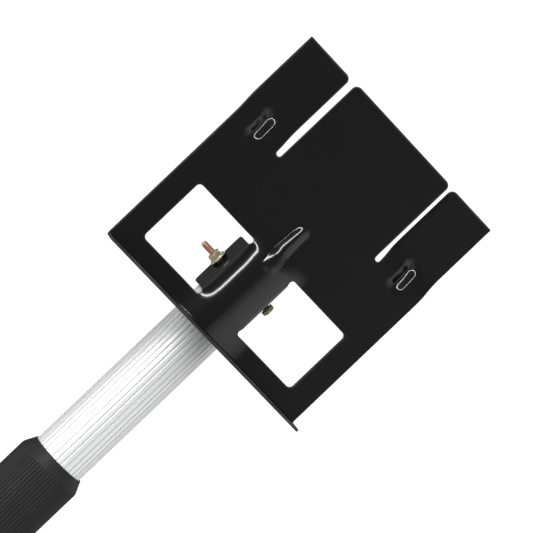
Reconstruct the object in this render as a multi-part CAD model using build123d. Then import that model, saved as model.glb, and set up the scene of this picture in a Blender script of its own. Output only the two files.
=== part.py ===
from build123d import *
import math
import os

# A telescoping staff with a pressed steel sign holder at its head. Millimetres, +Z up the staff.
# The origin is the centre of the foot's face, Z is the staff's axis, and the holder's front faces -Y.

os.makedirs("parts", exist_ok=True)

# ---------------------------------------------------------------- fluted tubes
inner_tube_diameter = 31.75
inner_tube_wall = 1.3
tube_gap = 0.375            # radial, between the inner tube and the outer tube's bore
outer_tube_wall = 1.25
outer_tube_length = 884.0
flute_count = 32
flute_width = 1.0
flute_depth = 0.35

# ---------------------------------------------------------------- staff, from the foot up
tip_floor = 8.0
tip_height = 45.0
tip_wall_foot = 3.4
tip_wall_top = 2.0
tip_foot_chamfer = 1.5
end_plug_flange = 2.0
end_plug_depth = 25.0
end_plug_wall = 3.0
closing_gap = 0.5           # left over the end plug when the staff is pushed right in
exposed_inner_tube = 102.0  # inner tube that shows over the grip's mouth when pushed in
travel_overlap = 115.0      # inner tube foot to outer tube mouth when pulled right out

# ---------------------------------------------------------------- grips
grip_wall = 2.55
grip_rib_count = 64
grip_groove_width = 0.8
grip_groove_depth = 0.4
grip_smooth_band = 3.0      # plain rubber at a grip's ends
grip_shoulder = 8.0         # height of the rounded shoulder at the mouth
grip_lip_wall = 0.45
grip_lip_gap = 0.35         # radial, between the lip and the inner tube
grip_lip_height = 4.0
upper_grip_length = 230.0
lower_grip_length = 180.0
grip_end_gap = 0.5

# ---------------------------------------------------------------- bush and lock
running_clearance = 0.05    # radial, rings on their journals
sliding_clearance = 0.1     # radial, along the tubes
axial_play = 0.1
collar_wall = 0.9
collar_skirt = 10.0
collar_floor = 2.0
plug_depth = 30.0
plug_shoulder = 3.0
plug_neck_diameter = 22.0
guide_ring_height = 10.0
guide_ring_slit = 2.0
plug_flange = 2.0
cam_offset = 0.75
cam_journal_diameter = 14.0
cam_ring_height = 10.0
cam_contact_turn = 60.0     # degrees of twist at which the ring meets the bore
plug_pin_diameter = 3.2
plug_pin_length = 7.0
plug_pin_recess = 0.5
retaining_washer_diameter = 22.0
retaining_washer_thickness = 1.5
retaining_screw_diameter = 5.0
retaining_screw_length = 22.0
retaining_screw_head_diameter = 9.5
retaining_screw_head_height = 3.0
retaining_screw_socket = 4.0

# ---------------------------------------------------------------- sign holder
sheet = 1.6
plate_width = 143.0
plate_height = 149.5
inner_bend = 1.0
flange_reach = 21.5         # in front of the plate's front face
tube_proud = 4.875          # how far the tube stands in front of the plate's front face
channel_gap = 0.525         # tube's front to the inside of the channel
channel_spread = 2.825      # channel's inner radius over the tube's radius
channel_top = 50.0
channel_fade = 10.0
window_bottom = 12.6
window_height = 41.1
window_border = 14.5
window_corner = 2.5
notch_height = 3.5
notch_bite = 0.35           # how far a notch's round end cuts into the channel's edge
ear_splay = 13.0            # degrees outward from straight back
ear_gap = 0.1               # ear's inner face to the tube
ear_reach = 15.0            # behind the plate's front face
bead_width = 10.0
bead_rise = 3.0
bead_top = 79.4
slot_centre = 38.9
slot_width = 3.2
slot_bottom = 93.0
tab_corner = 3.5
joggle_bottom = 92.0
joggle_length = 19.0
joggle_step = 5.2
dart_middle = 98.0
dart_length = 19.5
dart_width = 7.5
dart_depth = 2.5
tube_in_holder = 48.4
top_plug_depth = 10.0
top_plug_flange = 1.5
top_plug_wall = 2.0
top_plug_inset = 0.6

# ---------------------------------------------------------------- cross bolt
bolt_diameter = 4.0
bolt_hole_clearance = 0.25  # radial
bolt_tail = 7.9             # thread that stands past the nut
bolt_head_flats = 7.0
bolt_head_height = 2.8
nut_height = 3.2
washer_diameter = 10.0
washer_thickness = 1.0
washer_clearance = 0.15     # radial
hex_chamfer = 0.5
bolt_tip_chamfer = 0.6

# ---------------------------------------------------------------- sizes that follow
outer_bore = inner_tube_diameter + 2 * tube_gap
outer_tube_diameter = outer_bore + 2 * outer_tube_wall
inner_bore = inner_tube_diameter - 2 * inner_tube_wall
grip_diameter = outer_tube_diameter + 2 * grip_wall

outer_tube_foot = tip_floor + end_plug_flange
outer_tube_mouth = outer_tube_foot + outer_tube_length
grip_mouth = outer_tube_mouth + collar_floor + grip_lip_height
holder_foot = grip_mouth + exposed_inner_tube
inner_tube_top = holder_foot + tube_in_holder

end_plug_top = outer_tube_foot + end_plug_depth
screw_foot = end_plug_top + closing_gap
washer_foot = screw_foot + retaining_screw_head_height
journal_foot = washer_foot + retaining_washer_thickness
journal_height = cam_ring_height + 2 * axial_play
plug_flange_foot = journal_foot + journal_height
neck_foot = plug_flange_foot + plug_flange
neck_height = guide_ring_height + 2 * axial_play
shoulder_foot = neck_foot + neck_height
inner_tube_foot = shoulder_foot + plug_shoulder

# The cam ring drifts sideways by 2 * cam_offset * sin(turn / 2), so this diameter meets the bore there.
cam_drift = 2 * cam_offset * math.sin(math.radians(cam_contact_turn) / 2)
cam_ring_diameter = outer_bore - 2 * cam_drift

front_face_setback = inner_tube_diameter / 2 - tube_proud
channel_radius = inner_tube_diameter / 2 + channel_spread + sheet
channel_axis_y = channel_spread - channel_gap
channel_rise = channel_radius - channel_axis_y - front_face_setback
channel_half_width = math.sqrt(channel_radius ** 2 - (channel_radius - channel_rise) ** 2)
notch_reach = channel_half_width - notch_bite

# An ear's inner face runs straight past the tube, and this turn round the channel starts its bend.
bend_orbit = channel_radius - inner_bend - sheet
ear_lean = math.sin(math.radians(ear_splay)) * channel_axis_y
ear_stand = inner_tube_diameter / 2 + ear_gap - inner_bend + ear_lean
ear_turn_start = math.asin(ear_stand / bend_orbit) - math.radians(ear_splay)
ear_turn_end = math.radians(90 - ear_splay)
bend_centre_x = bend_orbit * math.sin(ear_turn_start)
bend_centre_y = channel_axis_y - bend_orbit * math.cos(ear_turn_start)

window_outer = plate_width / 2 - window_border
clamp_height = holder_foot + window_bottom + window_height / 2
bead_radius = ((bead_width / 2) ** 2 + bead_rise ** 2) / (2 * bead_rise)
bead_axis_y = -front_face_setback + bead_radius - bead_rise

dart_place = (slot_centre + slot_width / 2 + plate_width / 2) / 2

UPWARD = (Align.CENTER, Align.CENTER, Align.MIN)


def behind_front(distance):
    """Y of a point that lies this far behind the plate's front face."""
    return distance - front_face_setback


def rod(diameter, foot, height):
    """Upright cylinder on the staff's axis."""
    return Pos(0, 0, foot) * Cylinder(diameter / 2, height, align=UPWARD)


def pipe(outside, inside, foot, height):
    """Upright plain tube on the staff's axis."""
    return rod(outside, foot, height) - rod(inside, foot, height)


def grooved_pipe(outside, inside, count, width, depth, foot, height):
    """Upright tube with lengthwise grooves spaced evenly round its outside."""
    section = Circle(outside / 2) - PolarLocations(outside / 2, count) * Rectangle(2 * depth, width)
    section -= Circle(inside / 2)
    return extrude(Pos(0, 0, foot) * section, height)


def crosswise(shape, start, height):
    """Lay a shape drawn upright from the ground along +X at the cross bolt, starting at x = start."""
    return Pos(start, 0, height) * Rot(0, 90, 0) * shape


def hexagon(flats, height):
    """Hexagon prism with its outer end's corners turned off, standing on the ground."""
    across_corners = flats / math.cos(math.radians(30))
    prism = extrude(RegularPolygon(flats / 2, 6, major_radius=False), height)
    turned = Cylinder(across_corners / 2, height, align=UPWARD)
    turned = chamfer(turned.edges().sort_by(Axis.Z)[-1], hex_chamfer)
    return prism & turned


# ================================================================ sign holder
def folded_sheet():
    """Plate and bottom flange, one bent sheet across the whole width."""
    foot = holder_foot
    top = holder_foot + plate_height
    lip = behind_front(-flange_reach)
    profile = Polygon(
        (behind_front(sheet), top), (behind_front(sheet), foot), (lip, foot), (lip, foot + sheet),
        (behind_front(0), foot + sheet), (behind_front(0), top), align=None)
    outer_corner = profile.vertices().sort_by_distance((behind_front(sheet), foot, 0))[0]
    profile = fillet(outer_corner, inner_bend + sheet)
    inner_corner = profile.vertices().sort_by_distance((behind_front(0), foot + sheet, 0))[0]
    profile = fillet(inner_corner, inner_bend)
    return extrude(Plane.YZ * profile, plate_width / 2, both=True)


def joggle_line(behind):
    """Side tab's outline from below its dart to the top, as a wire a set distance behind the front."""
    foot = holder_foot + joggle_bottom
    head = foot + joggle_length
    radius = (joggle_length ** 2 + joggle_step ** 2) / (4 * joggle_step)
    near = behind_front(behind)
    far = near + joggle_step
    middle = (near + joggle_step / 2, foot + joggle_length / 2)
    quarter_turn = math.asin(joggle_length / 2 / radius) / 2
    bulge = radius * (1 - math.cos(quarter_turn))
    rise = radius * math.sin(quarter_turn)
    lead = Line((near, foot - dart_length), (near, foot))
    first = ThreePointArc((near, foot), (near + bulge, foot + rise), middle)
    second = ThreePointArc(middle, (far - bulge, head - rise), (far, head))
    rest = Line((far, head), (far, holder_foot + plate_height))
    return lead + first + second + rest


def joggled_band(thickness):
    """Region behind the side tab's front face, this thick, across the whole plate."""
    front = joggle_line(0)
    back = joggle_line(thickness)
    foot = holder_foot + joggle_bottom - dart_length
    top = holder_foot + plate_height
    low = Line((behind_front(0), foot), (behind_front(thickness), foot))
    high = Line((behind_front(joggle_step), top), (behind_front(thickness) + joggle_step, top))
    face = make_face(front.edges() + back.edges() + low.edges() + high.edges())
    return extrude(Plane.YZ * face, plate_width / 2, both=True)


def channel_form(inset):
    """Round form of the channel over the tube, fading into the plate at its head."""
    radius = channel_radius - inset
    faded = channel_radius - channel_rise - inset
    straight = Pos(0, channel_axis_y, holder_foot) * Cylinder(radius, channel_top, align=UPWARD)
    head = Pos(0, channel_axis_y, holder_foot + channel_top) * Cone(radius, faded, channel_fade, align=UPWARD)
    return straight + head


def bead_form(inset):
    """Round form of the stiffening bead, from the channel up to its domed end."""
    radius = bead_radius - inset
    end = bead_top - bead_width / 2
    straight = Cylinder(radius, end - channel_top, align=UPWARD)
    straight = Pos(0, bead_axis_y, holder_foot + channel_top) * straight
    return straight + Pos(0, bead_axis_y, holder_foot + end) * Sphere(radius)


def ear_outline(depth):
    """Bend and free edge of an ear, this deep into the sheet from its outer face, as four points."""
    radius = inner_bend + sheet - depth
    turns = (ear_turn_start, (ear_turn_start + ear_turn_end) / 2, ear_turn_end)
    bend = [(bend_centre_x + radius * math.sin(turn), bend_centre_y - radius * math.cos(turn))
            for turn in turns]
    run = behind_front(ear_reach) - bend[2][1]
    return bend + [(bend[2][0] + run * math.tan(math.radians(ear_splay)), bend[2][1] + run)]


def saddle():
    """Strip over the tube and back into both clamp ears, as high as the ears."""
    middle_radius = channel_radius - sheet / 2
    turned = (middle_radius * math.sin(ear_turn_start),
              channel_axis_y - middle_radius * math.cos(ear_turn_start))
    crest = ThreePointArc((-turned[0], turned[1]), (0, channel_axis_y - middle_radius), turned)
    strip = trace(crest, sheet)
    for side in (1, -1):
        points = [(side * x, y) for x, y in ear_outline(sheet / 2)]
        strip = strip + trace(ThreePointArc(*points[:3]), sheet) + trace(Line(points[2], points[3]), sheet)
    height = window_height - 2 * notch_height
    return extrude(Pos(0, 0, holder_foot + window_bottom + notch_height) * strip, height)


def window_cut(side):
    """One window with its two relief notches beside the ear."""
    through = 2 * front_face_setback
    middle = holder_foot + window_bottom + window_height / 2
    inner = notch_reach + notch_height / 2
    width = window_outer - inner
    opening = Pos(side * (inner + width / 2), middle) * Rectangle(width, window_height)
    outer_corners = opening.vertices().sort_by(Axis.X)
    outer_corners = outer_corners[-2:] if side > 0 else outer_corners[:2]
    opening = fillet(outer_corners, window_corner)
    rise = (window_height - notch_height) / 2
    for end in (-rise, rise):
        opening += Pos(side * inner, middle + end) * Circle(notch_height / 2)
    ear_side = notch_reach - sheet / 2
    ear_height = window_height - 2 * notch_height
    flap = Pos(side * (ear_side + inner) / 2, middle) * Rectangle(inner - ear_side, ear_height)
    cutter = extrude(Plane.XZ * (opening + flap), through, both=True)
    front_limit = Box(2 * plate_width, front_face_setback, 2 * plate_height,
                      align=(Align.CENTER, Align.MAX, Align.CENTER))
    return cutter - Pos(0, behind_front(-channel_rise), middle) * front_limit


def dart(inset):
    """Capsule that a side tab's dart is pressed to, leaning back with the joggle."""
    radius = ((dart_width / 2) ** 2 + dart_depth ** 2) / (2 * dart_depth)
    lean = math.degrees(math.atan2(joggle_step, joggle_length))
    run = dart_length - dart_width
    capsule = Cylinder(radius + inset, run) + Pos(0, 0, run / 2) * Sphere(radius + inset)
    capsule += Pos(0, 0, -run / 2) * Sphere(radius + inset)
    ahead = radius - dart_depth
    height = holder_foot + dart_middle
    share = (dart_middle - joggle_bottom) / joggle_length
    return Pos(0, behind_front(share * joggle_step - ahead), height) * Rot(-lean, 0, 0) * capsule


def make_sign_bracket():
    """Pressed sheet holder: plate, flange, windows, channel, ears, bead, slots, tabs and darts."""
    foot = holder_foot
    tab_height = plate_height - joggle_bottom
    body = folded_sheet()
    for side in (1, -1):
        flat_tab = Pos(side * (slot_centre + plate_width) / 2, 0, foot + joggle_bottom)
        body -= flat_tab * Box(plate_width - slot_centre, 2 * (front_face_setback + sheet), tab_height,
                               align=UPWARD)
    band = joggled_band(sheet)
    for side in (1, -1):
        reach = Pos(side * (slot_centre + plate_width) / 2, 0, foot + joggle_bottom)
        keep = reach * Box(plate_width - slot_centre, 4 * front_face_setback, tab_height, align=UPWARD)
        body += band & keep
    behind = joggled_band(front_face_setback)
    for side in (1, -1):
        body += (Pos(side * dart_place, 0, 0) * dart(sheet)) & behind
    for side in (1, -1):
        body -= Pos(side * dart_place, 0, 0) * dart(0)

    raised = channel_form(0) + bead_form(0)
    ahead = Box(plate_width, front_face_setback + channel_rise, plate_height,
                align=(Align.CENTER, Align.MAX, Align.MIN))
    ahead = Pos(0, behind_front(sheet), foot) * ahead
    body += raised & ahead
    body -= channel_form(sheet) + bead_form(sheet)

    for side in (1, -1):
        body -= window_cut(side)
        root = foot + slot_bottom + slot_width / 2
        rise = plate_height - slot_bottom
        slot_end = Pos(side * slot_centre, root) * Circle(slot_width / 2)
        slot_run = Pos(side * slot_centre, root + rise / 2) * Rectangle(slot_width, rise)
        body -= extrude(Plane.XZ * (slot_end + slot_run), 2 * front_face_setback, both=True)
    body += saddle()

    top = foot + plate_height
    corners = []
    for side in (1, -1):
        for edge_x in (slot_centre - slot_width / 2, slot_centre + slot_width / 2):
            near = [edge for edge in body.edges().filter_by(Axis.Y)
                    if abs(edge.center().X - side * edge_x) < 0.1 and abs(edge.center().Z - top) < 0.1]
            corners += near
    body = fillet(corners, tab_corner)
    hole = Cylinder(bolt_diameter / 2 + bolt_hole_clearance, plate_width, align=UPWARD)
    return body - crosswise(hole, -plate_width / 2, clamp_height)


# ================================================================ cross bolt
# The free edge of an ear, square to the ear, is what the bolt's head and the washer bear on.
ear_face = ear_outline(sheet / 2)[3][0] + sheet / 2 * math.cos(math.radians(ear_splay))
bolt_length = 2 * ear_face + washer_thickness + nut_height + bolt_tail


def make_clamp_bolt():
    head = crosswise(hexagon(bolt_head_flats, bolt_head_height), ear_face, clamp_height)
    shank = Cylinder(bolt_diameter / 2, bolt_length, align=UPWARD)
    shank = chamfer(shank.edges().sort_by(Axis.Z)[0], bolt_tip_chamfer)
    return head + crosswise(shank, ear_face - bolt_length, clamp_height)


def make_clamp_washer():
    ring = Cylinder(washer_diameter / 2, washer_thickness, align=UPWARD)
    ring -= Cylinder(bolt_diameter / 2 + washer_clearance, washer_thickness, align=UPWARD)
    return crosswise(ring, -ear_face - washer_thickness, clamp_height)


def make_clamp_nut():
    nut = Rot(180, 0, 0) * hexagon(bolt_head_flats, nut_height)
    nut -= Rot(180, 0, 0) * Cylinder(bolt_diameter / 2, nut_height, align=UPWARD)
    return crosswise(nut, -ear_face - washer_thickness, clamp_height)


# ================================================================ inner tube
def make_inner_tube():
    tube = grooved_pipe(inner_tube_diameter, inner_bore, flute_count, flute_width, flute_depth,
                        inner_tube_foot, inner_tube_top - inner_tube_foot)
    hole = Cylinder(bolt_diameter / 2 + bolt_hole_clearance, plate_width, align=UPWARD)
    tube -= crosswise(hole, -plate_width / 2, clamp_height)
    return tube - plug_pin_holes()


def make_top_plug():
    spigot = pipe(inner_bore, inner_bore - 2 * top_plug_wall, inner_tube_top - top_plug_depth, top_plug_depth)
    cap = rod(inner_tube_diameter - 2 * top_plug_inset, inner_tube_top, top_plug_flange)
    cap = fillet(cap.edges().sort_by(Axis.Z)[-1], top_plug_flange / 2)
    return spigot + cap


# ================================================================ twist lock
def plug_pin_holes():
    """Two radial holes through the tube's wall, front and back, into the cam plug."""
    outward = inner_tube_diameter / 2 + flute_depth
    inward = inner_tube_diameter / 2 - plug_pin_recess - plug_pin_length
    drill = Pos(0, 0, inward) * Cylinder(plug_pin_diameter / 2, outward - inward, align=UPWARD)
    height = inner_tube_foot + plug_depth / 2
    front = Pos(0, 0, height) * Rot(90, 0, 0) * drill
    back = Pos(0, 0, height) * Rot(-90, 0, 0) * drill
    return front + back


def make_cam_plug():
    spigot = rod(inner_bore, inner_tube_foot, plug_depth)
    shoulder = rod(inner_tube_diameter - 2 * flute_depth, shoulder_foot, plug_shoulder)
    neck = rod(plug_neck_diameter, neck_foot, neck_height)
    flange = rod(cam_ring_diameter - 2 * cam_offset, plug_flange_foot, plug_flange)
    journal = Pos(cam_offset, 0, 0) * rod(cam_journal_diameter, journal_foot, journal_height)
    body = spigot + shoulder + neck + flange + journal
    pilot = rod(retaining_screw_diameter, journal_foot, retaining_screw_length - retaining_washer_thickness)
    return body - Pos(cam_offset, 0, 0) * pilot - plug_pin_holes()


def make_cam_plug_pins():
    inward = inner_tube_diameter / 2 - plug_pin_recess - plug_pin_length
    pin = Pos(0, 0, inward) * Cylinder(plug_pin_diameter / 2, plug_pin_length, align=UPWARD)
    height = inner_tube_foot + plug_depth / 2
    return Compound([Pos(0, 0, height) * Rot(90, 0, 0) * pin, Pos(0, 0, height) * Rot(-90, 0, 0) * pin])


def make_guide_ring():
    ring = pipe(outer_bore - 2 * sliding_clearance, plug_neck_diameter + 2 * running_clearance,
                neck_foot + axial_play, guide_ring_height)
    slit = Pos(outer_bore / 2, 0, neck_foot) * Box(outer_bore, guide_ring_slit, 2 * neck_height, align=UPWARD)
    return ring - slit


def make_cam_ring():
    ring = rod(cam_ring_diameter, journal_foot + axial_play, cam_ring_height)
    bore = Pos(cam_offset, 0, 0) * rod(cam_journal_diameter + 2 * running_clearance, journal_foot,
                                       journal_height)
    return ring - bore


def make_cam_retaining_washer():
    disc = pipe(retaining_washer_diameter, retaining_screw_diameter + 2 * washer_clearance, washer_foot,
                retaining_washer_thickness)
    return Pos(cam_offset, 0, 0) * disc


def make_cam_retaining_screw():
    shank = rod(retaining_screw_diameter, washer_foot, retaining_screw_length)
    head = rod(retaining_screw_head_diameter, screw_foot, retaining_screw_head_height)
    head = fillet(head.edges().sort_by(Axis.Z)[0], retaining_screw_head_height / 4)
    hexagon_hole = RegularPolygon(retaining_screw_socket / 2, 6, major_radius=False)
    socket = extrude(Pos(0, 0, screw_foot) * hexagon_hole, retaining_screw_head_height / 2)
    return Pos(cam_offset, 0, 0) * (shank + head - socket)


# ================================================================ outer tube
def make_outer_tube():
    return grooved_pipe(outer_tube_diameter, outer_bore, flute_count, flute_width, flute_depth,
                        outer_tube_foot, outer_tube_length)


def make_collar_bush():
    outside = outer_tube_diameter + 2 * collar_wall
    skirt = pipe(outside, outer_tube_diameter, outer_tube_mouth - collar_skirt, collar_skirt)
    guide = pipe(outside, inner_tube_diameter + 2 * sliding_clearance, outer_tube_mouth, collar_floor)
    return skirt + guide


def make_upper_grip():
    foot = grip_mouth - upper_grip_length
    mouth_radius = inner_tube_diameter / 2 + grip_lip_gap + grip_lip_wall
    ribbed = grooved_pipe(grip_diameter, outer_tube_diameter, grip_rib_count, grip_groove_width,
                          grip_groove_depth, foot, upper_grip_length - grip_shoulder)
    shoulder_foot_z = grip_mouth - grip_shoulder
    knee = (grip_diameter / 2, grip_mouth - grip_shoulder / 5)
    outline = Bezier((grip_diameter / 2, shoulder_foot_z), knee, (mouth_radius, grip_mouth))
    walls = Polyline((mouth_radius, grip_mouth), (0, grip_mouth), (0, shoulder_foot_z),
                     (grip_diameter / 2, shoulder_foot_z))
    shoulder = revolve(Plane.XZ * make_face(outline.edges() + walls.edges()), Axis.Z)
    grip = ribbed + shoulder
    outside = outer_tube_diameter + 2 * collar_wall
    bush_room = rod(outside, outer_tube_mouth - collar_skirt, collar_skirt + collar_floor)
    lip_room = rod(inner_tube_diameter + 2 * grip_lip_gap, grip_mouth - grip_lip_height, grip_lip_height)
    smooth = pipe(grip_diameter, outer_tube_diameter, grip_mouth - grip_shoulder - grip_smooth_band,
                  grip_smooth_band)
    return grip + smooth - bush_room - lip_room


def make_lower_grip():
    foot = tip_height + grip_end_gap
    grip = grooved_pipe(grip_diameter, outer_tube_diameter, grip_rib_count, grip_groove_width,
                        grip_groove_depth, foot, lower_grip_length)
    upper_band = pipe(grip_diameter, outer_tube_diameter, foot + lower_grip_length - grip_smooth_band,
                      grip_smooth_band)
    lower_band = pipe(grip_diameter, outer_tube_diameter, foot, grip_smooth_band)
    return grip + upper_band + lower_band


def make_end_plug():
    flange = rod(outer_tube_diameter, tip_floor, end_plug_flange)
    spigot = rod(outer_bore, outer_tube_foot, end_plug_depth)
    hollow = rod(outer_bore - 2 * end_plug_wall, tip_floor, end_plug_depth + end_plug_flange - end_plug_wall)
    return flange + spigot - hollow


def make_rubber_tip():
    foot_radius = outer_tube_diameter / 2 + tip_wall_foot
    top_radius = outer_tube_diameter / 2 + tip_wall_top
    cup = Cone(foot_radius, top_radius, tip_height, align=UPWARD)
    cup = chamfer(cup.edges().sort_by(Axis.Z)[0], tip_foot_chamfer)
    return cup - rod(outer_tube_diameter, tip_floor, tip_height)


sub_parts = {
    "sign_bracket": make_sign_bracket,
    "clamp_bolt": make_clamp_bolt,
    "clamp_nut": make_clamp_nut,
    "clamp_washer": make_clamp_washer,
    "top_plug": make_top_plug,
    "inner_tube": make_inner_tube,
    "cam_plug": make_cam_plug,
    "cam_plug_pins": make_cam_plug_pins,
    "guide_ring": make_guide_ring,
    "cam_ring": make_cam_ring,
    "cam_retaining_washer": make_cam_retaining_washer,
    "cam_retaining_screw": make_cam_retaining_screw,
    "outer_tube": make_outer_tube,
    "collar_bush": make_collar_bush,
    "upper_grip": make_upper_grip,
    "lower_grip": make_lower_grip,
    "end_plug": make_end_plug,
    "rubber_tip": make_rubber_tip,
}

for node, make in sub_parts.items():
    export_step(make(), f"parts/{node}.step")

print("holder foot", holder_foot, "clamp height", clamp_height, "ear face", round(ear_face, 3))
print("inner tube", inner_tube_foot, inner_tube_top, "grip mouth", grip_mouth)
print("extension", outer_tube_mouth - inner_tube_foot - travel_overlap)
print("cam", cam_ring_diameter, "journal height", journal_foot + journal_height / 2)
print("top", holder_foot + plate_height)
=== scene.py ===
"""Looks of a telescoping sign staff: pressed sign holder, fluted tubes, ribbed grips and twist lock."""
from __future__ import annotations

import logging
import math
from dataclasses import dataclass
from enum import Enum
from typing import Sequence

import bpy
import numpy as np
from mathutils import Matrix, Vector
from mathutils.geometry import delaunay_2d_cdt


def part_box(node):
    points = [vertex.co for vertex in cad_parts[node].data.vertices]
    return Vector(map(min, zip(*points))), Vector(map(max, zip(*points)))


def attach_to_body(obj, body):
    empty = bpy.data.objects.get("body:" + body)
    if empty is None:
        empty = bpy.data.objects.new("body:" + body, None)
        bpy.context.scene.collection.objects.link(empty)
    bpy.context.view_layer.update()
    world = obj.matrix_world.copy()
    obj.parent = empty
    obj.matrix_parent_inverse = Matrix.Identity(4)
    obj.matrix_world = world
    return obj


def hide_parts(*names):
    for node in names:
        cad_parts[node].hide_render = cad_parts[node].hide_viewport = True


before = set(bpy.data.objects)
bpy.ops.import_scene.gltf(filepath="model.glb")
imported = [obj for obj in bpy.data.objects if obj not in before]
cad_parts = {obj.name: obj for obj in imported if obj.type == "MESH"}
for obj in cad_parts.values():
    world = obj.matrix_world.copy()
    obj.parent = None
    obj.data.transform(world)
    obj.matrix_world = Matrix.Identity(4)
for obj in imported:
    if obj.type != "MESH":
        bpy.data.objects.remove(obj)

MM = 0.001
TAU = 2 * math.pi
LOG = logging.getLogger("sign_staff")


class Body(Enum):
    """Rigid bodies that the new pieces ride on."""

    OUTER = "outer_pole"
    INNER = "inner_pole"


# ------------------------------------------------------------------ shader building
class Wire:
    """An output socket that can stand in sums."""

    def __init__(self, shader: Shader, socket: bpy.types.NodeSocket) -> None:
        """Keep the socket and the shader it belongs to."""
        self.shader = shader
        self.socket = socket

    def _sum(self, operation: str, first: Wire | float, second: Wire | float) -> Wire:
        """Add one Math node on two values."""
        return self.shader.node("ShaderNodeMath", {"operation": operation}, {0: first, 1: second})

    def __add__(self, other: Wire | float) -> Wire:
        """Return self + other."""
        return self._sum("ADD", self, other)

    def __radd__(self, other: float) -> Wire:
        """Return other + self."""
        return self._sum("ADD", other, self)

    def __sub__(self, other: Wire | float) -> Wire:
        """Return self - other."""
        return self._sum("SUBTRACT", self, other)

    def __rsub__(self, other: float) -> Wire:
        """Return other - self."""
        return self._sum("SUBTRACT", other, self)

    def __mul__(self, other: Wire | float) -> Wire:
        """Return self * other."""
        return self._sum("MULTIPLY", self, other)

    def __rmul__(self, other: float) -> Wire:
        """Return other * self."""
        return self._sum("MULTIPLY", other, self)


class Shader:
    """The node tree of one material, or of the surroundings."""

    def __init__(self, name: str, owner: bpy.types.World | None = None) -> None:
        """Start an empty tree.

        Args:
            name: name of the new material that gets the tree.
            owner: surroundings that get the tree instead of a new material.
        """
        self.material = owner or bpy.data.materials.new(name)
        self.material.use_nodes = True
        self.tree = self.material.node_tree
        self.tree.nodes.clear()

    def node(self, kind: str, settings: dict[str, object], sockets: dict[object, object],
             output: int | str = 0) -> Wire:
        """Add one node.

        Args:
            kind: the node's type.
            settings: its properties, set first; "stops" holds a ramp's positions and grey levels.
            sockets: values or wires for its input sockets, by index or name.
            output: the output socket to return.

        Returns:
            The wire from that output.
        """
        made = self.tree.nodes.new(kind)
        for key, value in settings.items():
            if key == "stops":
                self._set_stops(made.color_ramp, value)
            else:
                setattr(made, key, value)
        for key, value in sockets.items():
            if isinstance(value, Wire):
                self.tree.links.new(value.socket, made.inputs[key])
            else:
                made.inputs[key].default_value = value
        return Wire(self, made.outputs[output] if made.outputs else made.inputs[0])

    @staticmethod
    def _set_stops(ramp: bpy.types.ColorRamp, stops: Sequence[tuple[float, float]]) -> None:
        """Give a ramp its grey stops.

        Args:
            ramp: the ramp of a new node.
            stops: position and grey level of each stop.
        """
        while len(ramp.elements) < len(stops):
            ramp.elements.new(0.5)
        for element, (position, level) in zip(ramp.elements, stops):
            element.position = position
            element.color = (level, level, level, 1)

    def place(self, stretch: tuple[float, float, float] = (1, 1, 1)) -> Wire:
        """Return the object's own coordinates in metres, stretched per axis."""
        point = self.node("ShaderNodeTexCoord", {}, {}, "Object")
        return self.node("ShaderNodeVectorMath", {"operation": "MULTIPLY"}, {0: point, 1: stretch})

    def noise(self, scale: float, detail: float = 3.0, stretch: tuple[float, float, float] = (1, 1, 1),
              roughness: float = 0.5) -> Wire:
        """Return smooth noise from 0 to 1, this many features to the metre."""
        sockets = {"Vector": self.place(stretch), "Scale": scale, "Detail": detail, "Roughness": roughness}
        return self.node("ShaderNodeTexNoise", {}, sockets, "Fac")

    def ramp(self, value: Wire, *stops: tuple[float, float]) -> Wire:
        """Return value sent through a ramp with these stops."""
        return self.node("ShaderNodeValToRGB", {"stops": stops}, {"Fac": value})

    def attribute(self, name: str) -> Wire:
        """Return a per-vertex value that the mesh carries."""
        return self.node("ShaderNodeAttribute", {"attribute_name": name}, {}, "Fac")

    def mix(self, share: Wire | float, first: object, second: object) -> Wire:
        """Return a colour between first and second."""
        return self.node("ShaderNodeMix", {"data_type": "RGBA"}, {0: share, 6: first, 7: second}, 2)

    def bump(self, height: Wire, depth: float, strength: float = 1.0, under: Wire | None = None) -> Wire:
        """Bend the surface's normal.

        Args:
            height: relief from 0 to 1.
            depth: its full swing in metres.
            strength: how much of it is felt.
            under: a normal that is bent already.

        Returns:
            The bent normal.
        """
        sockets: dict[object, object] = {"Height": height, "Distance": depth, "Strength": strength}
        if under is not None:
            sockets["Normal"] = under
        return self.node("ShaderNodeBump", {}, sockets)

    def surface(self, sockets: dict[object, object]) -> bpy.types.Material:
        """Close the material with a Principled shader.

        Args:
            sockets: values or wires for the shader's inputs.

        Returns:
            The finished material.
        """
        shading = self.node("ShaderNodeBsdfPrincipled", {}, sockets)
        self.node("ShaderNodeOutputMaterial", {}, {"Surface": shading})
        return self.material


Colour = tuple[float, float, float, float]


def grey(level: float) -> Colour:
    """Return a neutral colour."""
    return (level, level, level, 1)


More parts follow.
